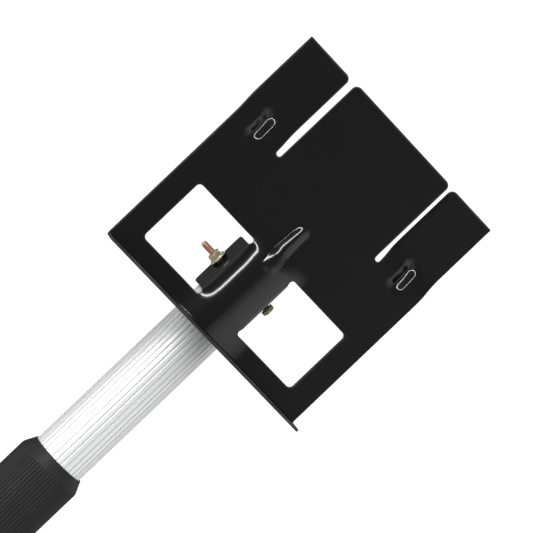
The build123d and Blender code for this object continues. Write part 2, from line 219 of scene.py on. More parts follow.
@dataclass(frozen=True)
class BlackEnamel:
    """Glossy black paint on pressed steel, with dust, faint flow and worn rims."""

    name: str = "black_enamel"
    colour: Colour = (0.0042, 0.0043, 0.0048, 1)
    worn: Colour = (0.05, 0.05, 0.052, 1)
    dust: Colour = (0.34, 0.33, 0.31, 1)
    roughness: float = 0.13
    scuff_scale: float = 45
    cloud_scale: float = 26
    dust_scale: float = 2100
    dust_patch_scale: float = 55
    flow_scale: float = 330
    flow_depth: float = 0.003 * MM
    dust_depth: float = 0.05 * MM

    def make(self) -> bpy.types.Material:
        """Build the material.

        Returns:
            The finished material.
        """
        shader = Shader(self.name)
        rim = shader.attribute("rim")
        thin = shader.attribute("thin")
        scuff = shader.ramp(shader.noise(self.scuff_scale, 3), (0.4, 0.0), (0.7, 1.0))
        wear = rim * (0.15 + scuff * 0.4)
        dusty = shader.ramp(shader.noise(self.dust_patch_scale, 2), (0.56, 0.0), (0.66, 1.0))
        speck = shader.ramp(shader.noise(self.dust_scale, 0), (0.79, 0.0), (0.82, 1.0)) * dusty
        colour = shader.mix(wear, self.colour, self.worn)
        colour = shader.mix(speck * 0.3, colour, self.dust)
        cloud = shader.noise(self.cloud_scale, 3)
        roughness = self.roughness - 0.03 + cloud * 0.06 + speck * 0.3 + rim * 0.42 + thin * 0.2
        flow = shader.bump(shader.noise(self.flow_scale, 2), self.flow_depth)
        grit = shader.bump(speck, self.dust_depth, under=flow)
        return shader.surface({"Base Color": colour, "Roughness": roughness, "Normal": grit})


@dataclass(frozen=True)
class DrawnAluminium:
    """Bright drawn and fluted aluminium tube, with painted shade darkening its flutes."""

    name: str = "drawn_aluminium"
    colour: Colour = (0.96, 0.965, 0.97, 1)
    # Painted shade: the grey that the flutes' hollows are darkened towards.
    groove: Colour = (0.5, 0.5, 0.5, 1)
    roughness: float = 0.48
    metallic: float = 0.6
    line_scale: float = 900
    line_stretch: tuple[float, float, float] = (1, 1, 0.012)
    stain_scale: float = 38
    pit_scale: float = 1500
    fine_depth: float = 0.006 * MM

    def make(self) -> bpy.types.Material:
        """Build the material.

        Returns:
            The finished material.
        """
        shader = Shader(self.name)
        lines = shader.noise(self.line_scale, 4, self.line_stretch, 0.7)
        stain = shader.noise(self.stain_scale, 3, (1, 1, 0.35))
        hollow = shader.attribute("hollow")
        handled = shader.ramp(stain, (0.35, 0.0), (0.7, 1.0))
        # Painted shade: the flutes' hollows are mixed towards a mid grey, standing in for the shade that
        # falls in them.
        colour = shader.mix(hollow * 0.8, self.colour, self.groove)
        colour = shader.mix(handled * 0.12, colour, grey(0.74))
        roughness = self.roughness - 0.05 + lines * 0.1 + handled * 0.06
        fine = shader.bump(lines, self.fine_depth)
        pits = shader.ramp(shader.noise(self.pit_scale, 1), (0.7, 0.0), (0.78, 1.0))
        return shader.surface({"Base Color": colour, "Metallic": self.metallic, "Roughness": roughness,
                               "Normal": shader.bump(pits, self.fine_depth, 0.5, fine)})


@dataclass(frozen=True)
class BlackRubber:
    """Matt moulded rubber with a dry bloom on its raised ribs."""

    name: str = "black_rubber"
    colour: Colour = (0.0055, 0.0056, 0.006, 1)
    bloom: Colour = (0.03, 0.03, 0.031, 1)
    roughness: float = 0.58
    sheen: float = 0.38
    bloom_scale: float = 75
    rub_scale: float = 420
    grain_scale: float = 2600
    grain_depth: float = 0.012 * MM

    def make(self) -> bpy.types.Material:
        """Build the material.

        Returns:
            The finished material.
        """
        shader = Shader(self.name)
        bloom = shader.ramp(shader.noise(self.bloom_scale, 5), (0.42, 0.0), (0.72, 1.0))
        raised = 1 - shader.attribute("hollow")
        rubbed = shader.ramp(shader.noise(self.rub_scale, 3, (1, 1, 0.2)), (0.4, 0.2), (0.7, 1.0))
        colour = shader.mix(bloom * raised * 0.3 + rubbed * raised * 0.08, self.colour, self.bloom)
        roughness = self.roughness + bloom * 0.14 - rubbed * raised * 0.06
        grain = shader.bump(shader.noise(self.grain_scale, 2), self.grain_depth, 0.7)
        return shader.surface({"Base Color": colour, "Roughness": roughness, "Normal": grain,
                               "Specular IOR Level": self.sheen})


@dataclass(frozen=True)
class ZincPlate:
    """Zinc-plated steel, plain or with a yellow passivate whose tint drifts."""

    name: str
    colour: Colour
    drift: Colour
    roughness: float = 0.32
    metallic: float = 0.92
    patch_scale: float = 330
    scratch_scale: float = 1400
    dull_scale: float = 900
    scratch_depth: float = 0.01 * MM

    def make(self) -> bpy.types.Material:
        """Build the material.

        Returns:
            The finished material.
        """
        shader = Shader(self.name)
        patch = shader.ramp(shader.noise(self.patch_scale, 3), (0.35, 0.0), (0.65, 1.0))
        scratch = shader.noise(self.scratch_scale, 3, (1, 0.15, 1), 0.65)
        dull = shader.ramp(shader.noise(self.dull_scale, 2), (0.55, 0.0), (0.7, 1.0))
        colour = shader.mix(patch, self.colour, self.drift)
        colour = shader.mix(dull * 0.25, colour, grey(0.2))
        roughness = self.roughness + scratch * 0.12 + dull * 0.15
        return shader.surface({"Base Color": colour, "Metallic": self.metallic, "Roughness": roughness,
                               "Normal": shader.bump(scratch, self.scratch_depth, 0.7)})


@dataclass(frozen=True)
class MouldedPlastic:
    """Spark-textured moulded plastic with light scuffs."""

    name: str
    colour: Colour
    scuffed: Colour
    roughness: float = 0.42
    scuff_scale: float = 260
    grain_scale: float = 3200
    grain_depth: float = 0.01 * MM

    def make(self) -> bpy.types.Material:
        """Build the material.

        Returns:
            The finished material.
        """
        shader = Shader(self.name)
        scuff = shader.ramp(shader.noise(self.scuff_scale, 5, (1, 1, 0.25)), (0.52, 0.0), (0.7, 1.0))
        colour = shader.mix(scuff * 0.3, self.colour, self.scuffed)
        roughness = self.roughness + scuff * 0.15
        grain = shader.bump(shader.noise(self.grain_scale, 2), self.grain_depth, 0.6)
        return shader.surface({"Base Color": colour, "Roughness": roughness, "Normal": grain})


@dataclass(frozen=True)
class StudioPaper:
    """Pale matt floor paper with a faint mottle."""

    name: str = "studio_paper"
    colour: Colour = (0.86, 0.86, 0.855, 1)
    mottle: Colour = (0.82, 0.82, 0.82, 1)
    mottle_scale: float = 3
    roughness: float = 0.85
    glow: float = 0.14

    def make(self) -> bpy.types.Material:
        """Build the material.

        Returns:
            The finished material.
        """
        shader = Shader(self.name)
        colour = shader.mix(shader.noise(self.mottle_scale, 2) * 0.2, self.colour, self.mottle)
        return shader.surface({"Base Color": colour, "Roughness": self.roughness, "Emission Color": grey(1),
                               "Emission Strength": self.glow})


class Palette:
    """Every finish, made once."""

    def __init__(self) -> None:
        """Build the materials."""
        self.enamel = BlackEnamel().make()
        self.aluminium = DrawnAluminium().make()
        self.rubber = BlackRubber().make()
        self.yellow_zinc = ZincPlate("yellow_zinc", (0.54, 0.47, 0.25, 1), (0.50, 0.50, 0.34, 1)).make()
        self.copper_zinc = ZincPlate("rosy_zinc", (0.52, 0.27, 0.20, 1), (0.50, 0.32, 0.22, 1), 0.26).make()
        self.pale_zinc = ZincPlate("pale_zinc", (0.66, 0.65, 0.50, 1), (0.60, 0.62, 0.50, 1)).make()
        self.bright_zinc = ZincPlate("bright_zinc", (0.78, 0.78, 0.77, 1), (0.70, 0.71, 0.72, 1)).make()
        self.black_plastic = MouldedPlastic("black_plastic", (0.016, 0.016, 0.017, 1), grey(0.09)).make()
        self.pale_plastic = MouldedPlastic("pale_plastic", (0.72, 0.71, 0.68, 1), grey(0.5), 0.36).make()
        self.paper = StudioPaper().make()


# ------------------------------------------------------------------ mesh building
def smoothstep(value: np.ndarray) -> np.ndarray:
    """Return a smooth rise from 0 to 1."""
    held = np.clip(value, 0, 1)
    return held * held * (3 - 2 * held)


def eased(value: np.ndarray, start: float, run: float) -> np.ndarray:
    """Return a smooth rise from 0 at start to 1 a run further on."""
    return smoothstep((value - start) / run)


def smooth_max(first: np.ndarray, second: np.ndarray, blend: np.ndarray | float) -> np.ndarray:
    """Return the larger of two heights, with the corner between them rounded over blend."""
    share = np.clip(0.5 + 0.5 * (first - second) / blend, 0, 1)
    return second * (1 - share) + first * share + blend * share * (1 - share)


def mesh_piece(name: str, points: np.ndarray, faces: Sequence[Sequence[int]],
               materials: Sequence[bpy.types.Material], values: dict[str, np.ndarray]) -> bpy.types.Object:
    """Make one mesh object.

    Args:
        name: the piece's name.
        points: its vertices in metres, in the part's frame.
        faces: vertex numbers of each face.
        materials: its material slots in order.
        values: per-vertex numbers that its materials read.

    Returns:
        The new object, smooth shaded.
    """
    mesh = bpy.data.meshes.new(name)
    mesh.from_pydata(points.tolist(), [], faces)
    mesh.update()
    for key, numbers in values.items():
        mesh.attributes.new(key, "FLOAT", "POINT").data.foreach_set("value", numbers.astype(np.float32))
    for material in materials:
        mesh.materials.append(material)
    mesh.polygons.foreach_set("use_smooth", [True] * len(mesh.polygons))
    piece = bpy.data.objects.new(name, mesh)
    bpy.context.scene.collection.objects.link(piece)
    return piece


Ring = tuple[float, np.ndarray, float]


@dataclass
class Turning:
    """A closed shape built of rings round one axis, where each ring may be other than round."""

    name: str
    count: int
    sharp_deg: float
    angles: np.ndarray | None = None

    def turns(self) -> np.ndarray:
        """Return the angle of each point round a ring."""
        return np.arange(self.count) / self.count * TAU if self.angles is None else self.angles

    def make(self, rings: Sequence[Ring], material: bpy.types.Material, along: Matrix,
             looped: bool = False) -> bpy.types.Object:
        """Build the mesh.

        Args:
            rings: height, radii round the ring and the hollow value, from one end to the other.
            material: its finish.
            along: places the axis, which is drawn along +Z.
            looped: True where the last ring meets the first, as in a tube with a bore.

        Returns:
            The new object.
        """
        turns = self.turns()
        count = len(turns)
        rows, hollow = [], []
        for height, radii, value in rings:
            radius = np.broadcast_to(radii, count)
            level = np.full(count, height)
            rows.append(np.stack([radius * np.cos(turns), radius * np.sin(turns), level], 1))
            hollow.append(np.broadcast_to(value, count))
        points = np.concatenate(rows)
        links = list(zip(range(len(rings) - 1), range(1, len(rings))))
        if looped:
            links.append((len(rings) - 1, 0))
        faces: list[Sequence[int]] = []
        for low, high in links:
            for spot in range(count):
                below, above, after = low * count, high * count, (spot + 1) % count
                faces.append((below + spot, below + after, above + after, above + spot))
        if not looped:
            faces.append(tuple(range(count))[::-1])
            faces.append(tuple(range((len(rings) - 1) * count, len(rings) * count)))
        turned = np.array(along.to_3x3()) @ points.T
        placed = turned.T + np.array(along.translation)
        piece = mesh_piece(self.name, placed, faces, [material], {"hollow": np.concatenate(hollow)})
        piece.data.set_sharp_from_angle(angle=math.radians(self.sharp_deg))
        return piece


def rounded_rings(radius: float, foot: float, top: float, soften: float, steps: int = 3) -> list[Ring]:
    """Draw an upright wall with softened ends.

    Args:
        radius: the wall's radius.
        foot: height of its lower end.
        top: height of its upper end.
        soften: radius of the rounding at both ends.
        steps: rings on each rounding.

    Returns:
        The wall's rings, from its foot up.
    """
    low, high = [], []
    for step in range(steps + 1):
        turn = math.pi / 2 * step / steps
        inset, climb = soften * (1 - math.sin(turn)), soften * (1 - math.cos(turn))
        low.append((foot + climb, radius - inset, 0.0))
        high.append((top - climb, radius - inset, 0.0))
    return low + high[::-1]


def attach(piece: bpy.types.Object, body: Body, slot: str, *nodes: str) -> None:
    """Let a piece ride on its body and stand for its CAD nodes.

    Args:
        piece: the finished piece.
        body: the body it moves with.
        slot: its material slot in the record; not used.
        nodes: the CAD nodes that it stands for.
    """
    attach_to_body(piece, body.value)
    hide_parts(*nodes)
    LOG.info("%s rides on %s for %s", piece.name, body.value, ", ".join(nodes))


def dress(node: str, material: bpy.types.Material) -> None:
    """Give a CAD node that keeps its own shape its material.

    Args:
        node: the node's name.
        material: its only material from now on.
    """
    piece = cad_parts[node]
    piece.data.materials.clear()
    piece.data.materials.append(material)
    LOG.info("%s keeps its CAD shape in %s", node, material.name)


# ------------------------------------------------------------------ sign holder
@dataclass
class Corner:
    """One corner of a cut outline, rounded to a radius, in millimetres on the flat sheet."""

    across: float
    up: float
    radius: float


@dataclass
class SheetOutline:
    """Closed outline of a cut edge on the flat sheet, walked with the metal on its left."""

    corners: list[Corner]
    step: float = 0.9
    arc_step: float = 0.35

    def rounding(self, index: int) -> list[np.ndarray]:
        """Round one corner.

        Args:
            index: the corner's number.

        Returns:
            The points of its arc, both ends with them.
        """
        near = [self.corners[(index + offset) % len(self.corners)] for offset in (-1, 0, 1)]
        before, here, after = (np.array([corner.across, corner.up]) for corner in near)
        radius = near[1].radius
        back = (before - here) / np.linalg.norm(before - here)
        ahead = (after - here) / np.linalg.norm(after - here)
        half = math.acos(float(np.clip(back @ ahead, -1, 1))) / 2
        centre = here + (back + ahead) / np.linalg.norm(back + ahead) * radius / math.sin(half)
        first = here + back * radius / math.tan(half) - centre
        sweep = math.pi - 2 * half
        parts = max(2, math.ceil(sweep * radius / self.arc_step))
        turn = -math.copysign(1, back[0] * ahead[1] - back[1] * ahead[0])
        arc = []
        for part in range(parts + 1):
            angle = turn * sweep * part / parts
            cos, sin = math.cos(angle), math.sin(angle)
            swung = np.array([cos * first[0] - sin * first[1], sin * first[0] + cos * first[1]])
            arc.append(centre + swung)
        return arc

    def points(self) -> np.ndarray:
        """Walk round the outline.

        Returns:
            Its points, closer together on the corners than on the straight runs.
        """
        arcs = [self.rounding(index) for index in range(len(self.corners))]
        found: list[np.ndarray] = []
        for arc, following in zip(arcs, arcs[1:] + arcs[:1]):
            run = following[0] - arc[-1]
            parts = max(1, round(float(np.linalg.norm(run)) / self.step))
            found += arc + [arc[-1] + run * part / parts for part in range(1, parts)]
        return np.array(found)


@dataclass(frozen=True)
class Bead:
    """Stiffening bead up the plate's middle, out of the channel's end. Sizes are in millimetres."""

    low: float = 45.0
    high: float = 74.2
    half: float = 5.0
    taper: float = 0.055
    taper_start: float = 10.0
    slope: float = 0.82
    crest_round: float = 2.9
    sharpen: float = 0.085
    sharpen_start: float = 3.0
    blunt: float = 1.7
    blunt_start: float = 8.0
    blunt_run: float = 9.0
    fillet_low: float = 0.15
    fillet_rise: float = 0.85
    fillet_start: float = 3.0
    fillet_run: float = 4.0
    first_share: float = 0.55
    first_run: float = 5.5
    second_start: float = 7.0
    second_run: float = 7.0

    def stand(self, across: np.ndarray, up: np.ndarray) -> np.ndarray:
        """Work out how far the bead stands on the sheet.

        It rises out of the channel's end, narrows and sharpens upwards, and has a round upper end.

        Args:
            across: sideways place on the sheet.
            up: height on the sheet.

        Returns:
            The bead's own height at each point.
        """
        run = (up - self.low - self.taper_start).clip(0, self.high - self.low - self.taper_start)
        half = self.half - self.taper * run
        blunt = self.blunt * (1 - eased(up, self.low + self.blunt_start, self.blunt_run))
        soft = self.crest_round - self.sharpen * (run - self.sharpen_start).clip(0) + blunt
        away = np.hypot(across, (up - self.high).clip(0))
        ridge = self.slope * (np.hypot(half, soft) - np.hypot(away, soft))
        upper = eased(up, self.high - self.fillet_start, self.fillet_run)
        share = self.first_share * eased(up, self.low, self.first_run)
        later = eased(up, self.low + self.second_start, self.second_run)
        share = share + (1 - self.first_share) * later
        fillet = self.fillet_low + self.fillet_rise * upper
        return smooth_max(ridge, np.zeros_like(ridge), fillet) * share


@dataclass(frozen=True)
class Darts:
    """Short upright grooves pressed into both joggles. Sizes are in millimetres."""

    across: float = 56.0
    middle: float = 98.0
    straight: float = 4.8
    slope: float = 0.78
    depth: float = 2.9
    valley_round: float = 0.7
    valley_inset: float = 0.84
    edge_round: float = 0.55
    end_round: float = 1.25
    end_run: float = 3.0

    def dip(self, across: np.ndarray, up: np.ndarray) -> np.ndarray:
        """Work out how deep the darts are.

        Args:
            across: sideways place on the sheet.
            up: height on the sheet.

        Returns:
            The depth at each point, 0 away from the darts.
        """
        along = (np.abs(up - self.middle) - self.straight).clip(0)
        away = np.sqrt((np.abs(across) - self.across) ** 2 + along ** 2 + self.valley_round)
        groove = self.depth - self.slope * (away - self.valley_inset)
        blend = self.edge_round + self.end_round * smoothstep(along / self.end_run)
        return smooth_max(groove, np.zeros_like(groove), blend)


@dataclass(frozen=True)
class Joggle:
    """Double bend that sets the side tabs back. Sizes are in millimetres."""

    low: float = 92.0
    length: float = 19.0
    step: float = 5.2

    def drop(self, up: np.ndarray) -> np.ndarray:
        """Work out how far the tabs are set back.

        Args:
            up: height on the sheet.

        Returns:
            The setback at each height, along two equal arcs.
        """
        radius = (self.length ** 2 + self.step ** 2) / (4 * self.step)
        run = (up - self.low).clip(0, self.length)
        half = self.length / 2
        first = radius - np.sqrt(radius ** 2 - np.minimum(run, half) ** 2)
        second = radius - np.sqrt(radius ** 2 - np.minimum(self.length - run, half) ** 2)
        return np.where(run < half, first, self.step - second)


@dataclass
class SignHolder:
    """Pressed and folded sheet holder.

    Sizes are in millimetres, and heights start at the flange's underside. The fields ending in fine say
    where the mesh is closer: half a width, then a lowest height, run or margin as each needs.
    """

    palette: Palette
    sheet: float = 1.6
    width: float = 143.0
    height: float = 149.5
    inner_bend: float = 1.0
    flange_reach: float = 21.5
    channel_radius: float = 20.3
    channel_rise: float = 7.0
    channel_top: float = 50.0
    channel_fade: float = 12.5
    spread_half: float = 19.0
    foot_half: float = 26.0
    spread_share: float = 0.28
    spread_run: float = 9.0
    window_low: float = 12.6
    window_high: float = 53.7
    window_side: float = 57.0
    window_corner: float = 2.5
    notch: float = 3.5
    notch_reach: float = 15.0
    tube_radius: float = 15.875
    ear_splay_deg: float = 13.0
    ear_reach: float = 15.0
    ear_gap: float = 0.1
    ear_corner: float = 2.0
    slot_inner: float = 37.3
    slot_outer: float = 40.5
    slot_low: float = 93.0
    tab_corner: float = 3.5
    flange_corner: float = 1.2
    top_corner: float = 0.4
    bolt_hole: float = 2.25
    hole_points: int = 28
    rim_round: float = 0.38
    crease_round: float = 0.02
    end_round: float = 3.0
    spread_round: float = 2.4
    past_run: float = 1.4
    foot_above: float = 3.2
    foot_run: float = 2.4
    ear_margin: float = 0.6
    ear_past: float = 1.0
    thin_start: float = 1.0
    ear_settle: float = 5.0
    grid: float = 1.25
    edge_clear: float = 0.4
    probe: float = 0.04
    channel_fine: tuple[float, float, float] = (18.0, -1.0, 7.0)
    bead_fine: tuple[float, float] = (6.5, 6.0)
    dart_fine: tuple[float, float] = (6.0, 11.0)
    bend_fine: tuple[float, float] = (0.8, 1.6)
    gap_chunks: int = 60
    weld: float = 1e-5
    bead: Bead = Bead()
    darts: Darts = Darts()
    joggle: Joggle = Joggle()

    def __post_init__(self) -> None:
        """Work out where the sheet's bends start and where it stands."""
        low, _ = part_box("sign_bracket")
        self.foot_z = low.z
        self.front_y = low.y + self.flange_reach * MM
        self.setback = -self.front_y / MM
        self.ear_low, self.ear_high = self.window_low + self.notch, self.window_high - self.notch
        self.window_middle = (self.window_low + self.window_high) / 2
        self.bend_up = self.sheet + self.inner_bend
        self.flange_start = self.bend_up - self.inner_bend * math.pi / 2
        self.flange_run = self.flange_reach - self.inner_bend
        self.flange_end = self.flange_start - self.flange_run
        self.channel_axis = self.channel_rise - self.channel_radius
        self.outer_bend = self.inner_bend + self.sheet
        orbit = self.channel_radius - self.outer_bend
        splay = math.radians(self.ear_splay_deg)
        behind = -self.channel_axis - self.setback
        stand = self.tube_radius + self.ear_gap - self.inner_bend + behind * math.sin(splay)
        self.ear_turn = math.asin(stand / orbit) - splay
        self.ear_end_turn = math.pi / 2 - splay
        self.bend_x = orbit * math.sin(self.ear_turn)
        self.bend_w = self.channel_axis + orbit * math.cos(self.ear_turn)
        self.ear_start = self.channel_radius * math.sin(self.ear_turn)
        self.arch_edge = self.channel_axis + self.channel_radius * math.cos(self.ear_turn)
        self.bend_arc = self.outer_bend * (self.ear_end_turn - self.ear_turn)
        straight_w = self.bend_w + self.outer_bend * math.cos(self.ear_end_turn)
        self.ear_edge = self.ear_start + self.bend_arc + (straight_w + self.ear_reach) / math.cos(splay)
        self.hole_across = self.ear_start + self.bend_arc + (straight_w + self.setback) / math.cos(splay)

    # -- outlines of the cut sheet
    def outlines(self) -> list[np.ndarray]:
        """Draw every cut edge of the flat sheet.

        Returns:
            The outer edge, then each side's window with its ear and its bolt hole.
        """
        half, top, low = self.width / 2, self.height, self.flange_end
        slot_round = (self.slot_outer - self.slot_inner) / 2
        right = [Corner(half, low, self.flange_corner), Corner(half, top, self.top_corner),
                 Corner(self.slot_outer, top, self.tab_corner),
                 Corner(self.slot_outer, self.slot_low, slot_round),
                 Corner(self.slot_inner, self.slot_low, slot_round),
                 Corner(self.slot_inner, top, self.tab_corner)]
        left = [Corner(-corner.across, corner.up, corner.radius) for corner in reversed(right)]
        loops = [SheetOutline(right + left).points()]
        lower = [Corner(self.window_side, self.window_low, self.window_corner),
                 Corner(self.notch_reach, self.window_low, self.notch / 2),
                 Corner(self.notch_reach, self.ear_low, self.notch / 2),
                 Corner(self.ear_edge, self.ear_low, self.ear_corner)]
        upper = [Corner(corner.across, self.window_low + self.window_high - corner.up, corner.radius)
                 for corner in reversed(lower)]
        turns = np.arange(self.hole_points) / self.hole_points * TAU
        for side in (1, -1):
            loop = SheetOutline(lower + upper).points()
            hole = np.stack([self.hole_across + self.bolt_hole * np.cos(turns),
                             self.window_middle - self.bolt_hole * np.sin(turns)], 1)
            for shape in (loop, hole):
                shape[:, 0] *= side
                loops.append(shape if side > 0 else shape[::-1])
        return loops

    # -- how the flat sheet is pressed
    def channel(self, across: np.ndarray, up: np.ndarray) -> np.ndarray:
        """Work out the channel over the tube.

        It is a round arch between the ears, spreads near the windows' ends, is a wide soft swell at the
        flange, and dies away above the tube's end.

        Args:
            across: sideways place on the sheet.
            up: height on the sheet.

        Returns:
            The channel's height at each point.
        """
        reach = np.abs(across)
        inside = np.maximum(self.channel_radius ** 2 - across ** 2, 0)
        arch = self.channel_axis + np.sqrt(inside) - (reach - self.channel_radius).clip(0)
        above = eased(up, self.ear_high, self.notch)
        below = smoothstep((self.ear_low - up) / self.notch)
        arch = smooth_max(arch, np.zeros_like(arch), self.crease_round + self.end_round * (above + below))
        flat = self.channel_rise * (1 - (reach / self.spread_half) ** 2)
        flat = smooth_max(flat, np.zeros_like(flat), self.spread_round)
        swell = self.channel_rise * (1 - smoothstep(reach / self.foot_half))
        run = self.spread_run
        near_ends = eased(up, self.ear_high - run, run) + smoothstep((self.ear_low + run - up) / run)
        past_top = eased(up, self.ear_high, self.notch * self.past_run)
        share = self.spread_share * near_ends + (1 - self.spread_share) * past_top
        height = arch + (flat - arch) * share
        to_foot = smoothstep((self.ear_low + self.foot_above - up) / (self.notch * self.foot_run))
        height = height + (swell - height) * to_foot
        return height * (1 - eased(up, self.channel_top, self.channel_fade))

    def relief(self, across: np.ndarray, up: np.ndarray, detail: bool) -> np.ndarray:
        """Work out how far the sheet's front stands before the plate's plane.

        Args:
            across: sideways place on the sheet.
            up: height on the sheet.
            detail: True with the bead and darts, False for the folded form alone.

        Returns:
            The height of each point.
        """
        side = eased(np.abs(across), self.slot_inner, self.slot_outer - self.slot_inner)
        height = self.channel(across, up) - self.joggle.drop(up) * side
        if detail:
            height = height + self.bead.stand(across, up) - self.darts.dip(across, up)
        return height

    def ear_band(self, across: np.ndarray, up: np.ndarray) -> np.ndarray:
        """Tell the ears and their bends from the rest of the flat sheet.

        Args:
            across: sideways place on the sheet.
            up: height on the sheet.

        Returns:
            True for each point on an ear or its bend.
        """
        reach, off_middle = np.abs(across), np.abs(up - self.window_middle)
        level = off_middle < self.window_middle - self.ear_low + self.ear_margin
        return (reach > self.ear_start) & (reach < self.ear_edge + self.ear_past) & level

    def on_ears(self, across: np.ndarray, up: np.ndarray) -> np.ndarray:
        """Return how far each point of the sheet is onto the folded ears, from 0 to 1."""
        onto = eased(np.abs(across), self.ear_start + self.thin_start, self.bend_arc)
        return onto * self.ear_band(across, up)

    def form(self, across: np.ndarray, up: np.ndarray, detail: bool = True) -> np.ndarray:
        """Fold and press points of the flat sheet's front face into place.

        Args:
            across: sideways place on the sheet, in millimetres.
            up: height on the sheet, in millimetres, negative on the flange.
            detail: True with the bead and darts.

        Returns:
            The points in the part's frame, in metres.
        """
        height = self.relief(across, np.maximum(up, self.bend_up), detail)
        turn = ((self.bend_up - up) / self.inner_bend).clip(0, math.pi / 2)
        place_z = np.where(up < self.bend_up, self.bend_up - self.inner_bend * np.sin(turn), up)
        run = (self.flange_start - up).clip(0) / self.flange_run
        root = height + self.inner_bend * (1 - np.cos(turn))
        forward = np.where(run > 0, root + run * (self.flange_reach - root), root)

        past = (np.abs(across) - self.ear_start).clip(0)
        bend = self.ear_turn + np.minimum(past, self.bend_arc) / self.outer_bend
        straight = (past - self.bend_arc).clip(0)
        splay = math.radians(self.ear_splay_deg)
        root_rise = self.relief(np.full_like(up, self.ear_start), up, detail) - self.arch_edge
        settled = 1 - smoothstep(past / (self.bend_arc + self.ear_settle))
        ear_x = self.bend_x + self.outer_bend * np.sin(bend) + straight * math.sin(splay)
        ear_w = self.bend_w + self.outer_bend * np.cos(bend) - straight * math.cos(splay)
        on_ear = self.ear_band(across, up)
        place_x = np.where(on_ear, np.sign(across) * ear_x, across)
        forward = np.where(on_ear, ear_w + root_rise * settled, forward)
        return np.stack([place_x * MM, self.front_y - forward * MM, self.foot_z + place_z * MM], 1)

    def normals(self, across: np.ndarray, up: np.ndarray, detail: bool) -> np.ndarray:
        """Work out which way the front face looks, from how the form changes close by.

        Args:
            across: sideways place on the sheet.
            up: height on the sheet.
            detail: True with the bead and darts.

        Returns:
            A unit normal at each point.
        """
        near = self.probe
        over = self.form(across + near, up, detail) - self.form(across - near, up, detail)
        climb = self.form(across, up + near, detail) - self.form(across, up - near, detail)
        normal = np.cross(over, climb)
        return normal / np.linalg.norm(normal, axis=1, keepdims=True)

    # -- meshing
    @staticmethod
    def inside(points: np.ndarray, loops: Sequence[np.ndarray]) -> np.ndarray:
        """Tell metal from openings, by counting the edges to the right of each point.

        Args:
            points: places on the flat sheet.
            loops: the outlines of the cut edges.

        Returns:
            True for each point on metal.
        """
        hits = np.zeros(len(points), int)
        for loop in loops:
            for (x0, y0), (x1, y1) in zip(loop, np.roll(loop, -1, axis=0)):
                if y0 == y1:
                    continue
                crossing = (points[:, 1] > y0) != (points[:, 1] > y1)
                edge_x = x0 + (points[:, 1] - y0) / (y1 - y0) * (x1 - x0)
                hits += crossing & (points[:, 0] < edge_x)
        return hits % 2 == 1

    def grid_points(self, loops: Sequence[np.ndarray]) -> np.ndarray:
        """Scatter mesh points over the metal, closer together on the pressed features.

        Args:
            loops: the outlines of the cut edges.

        Returns:
            The points on the flat sheet, clear of every edge.
        """
        fine = self.grid / 4
        xs = np.arange(-self.width / 2, self.width / 2, fine)
        ys = np.arange(self.flange_end, self.height, fine)
        column, row = np.meshgrid(np.arange(len(xs)), np.arange(len(ys)))
        points = np.stack([xs[column].ravel(), ys[row].ravel()], 1)
        across, up = np.abs(points[:, 0]), points[:, 1]
        bead, darts = self.bead, self.darts
        half, lowest, above = self.channel_fine
        on_channel = (across < half) & (up > lowest) & (up < bead.high + above)
        below, half = self.bend_fine
        on_bend = np.abs(up - self.bend_up + below) < half
        half, above = self.bead_fine
        on_bead = (across < half) & (up > bead.low) & (up < bead.high + above)
        half, run = self.dart_fine
        on_dart = (np.abs(across - darts.across) < half) & (np.abs(up - darts.middle) < run)
        coarse = ((column % 4 == 0) & (row % 4 == 0)).ravel()
        medium = ((column % 2 == 0) & (row % 2 == 0)).ravel()
        points = points[coarse | medium & (on_channel | on_bend) | on_bead | on_dart]
        points = points[self.inside(points, loops)]
        edge = np.concatenate(loops)
        clear = np.ones(len(points), bool)
        for chunk in np.array_split(np.arange(len(points)), self.gap_chunks):
            gap = points[chunk, None, :] - edge[None, :, :]
            clear[chunk] = np.hypot(gap[..., 0], gap[..., 1]).min(1) > self.grid * self.edge_clear
        return points[clear]

    def make(self) -> None:
        """Build the holder as one closed sheet with rounded rims."""
        loops = self.outlines()
        flat = np.concatenate(loops + [self.grid_points(loops)])
        edges, first = [], 0
        for loop in loops:
            count = len(loop)
            edges += [(first + spot, first + (spot + 1) % count) for spot in range(count)]
            first += count
        verts, _, faces, _, _, _ = delaunay_2d_cdt([Vector(p) for p in flat], edges, [], 0, self.weld)
        flat = np.array([tuple(vert) for vert in verts])
        tris = np.array([face for face in faces if len(face) == 3])
        tris = tris[self.inside(flat[tris].mean(1), loops)]
        first_edge = flat[tris[:, 1]] - flat[tris[:, 0]]
        second_edge = flat[tris[:, 2]] - flat[tris[:, 0]]
        flipped = first_edge[:, 0] * second_edge[:, 1] - first_edge[:, 1] * second_edge[:, 0] < 0
        tris[flipped] = tris[flipped][:, ::-1]
        self.thicken(flat, tris)

    def thicken(self, flat: np.ndarray, tris: np.ndarray) -> None:
        """Form the sheet and give it its back face and its rounded rims.

        Args:
            flat: mesh points on the flat sheet.
            tris: triangles between them, seen from the front.
        """
        across, up = flat[:, 0], flat[:, 1]
        front = self.form(across, up)
        normal = self.normals(across, up, True)
        through = self.normals(across, up, False)
        back = front - through * self.sheet * MM

        used = {(tri[side], tri[(side + 1) % 3]): None for tri in tris.tolist() for side in range(3)}
        border = [(a, b) for a, b in used if (b, a) not in used]
        outward = np.zeros_like(flat)
        for a, b in border:
            run = flat[b] - flat[a]
            side = np.array([run[1], -run[0]]) / max(np.linalg.norm(run), 1e-9)
            outward[a] += side
            outward[b] += side
        rim = sorted({spot for edge in border for spot in edge})
        number = {spot: index for index, spot in enumerate(rim)}
        way = outward[rim] / np.linalg.norm(outward[rim], axis=1, keepdims=True)
        inward = -self.probe * way
        push = front[rim] - self.form(across[rim] + inward[:, 0], up[rim] + inward[:, 1])
        push -= (push * through[rim]).sum(1, keepdims=True) * through[rim]
        push /= np.linalg.norm(push, axis=1, keepdims=True)

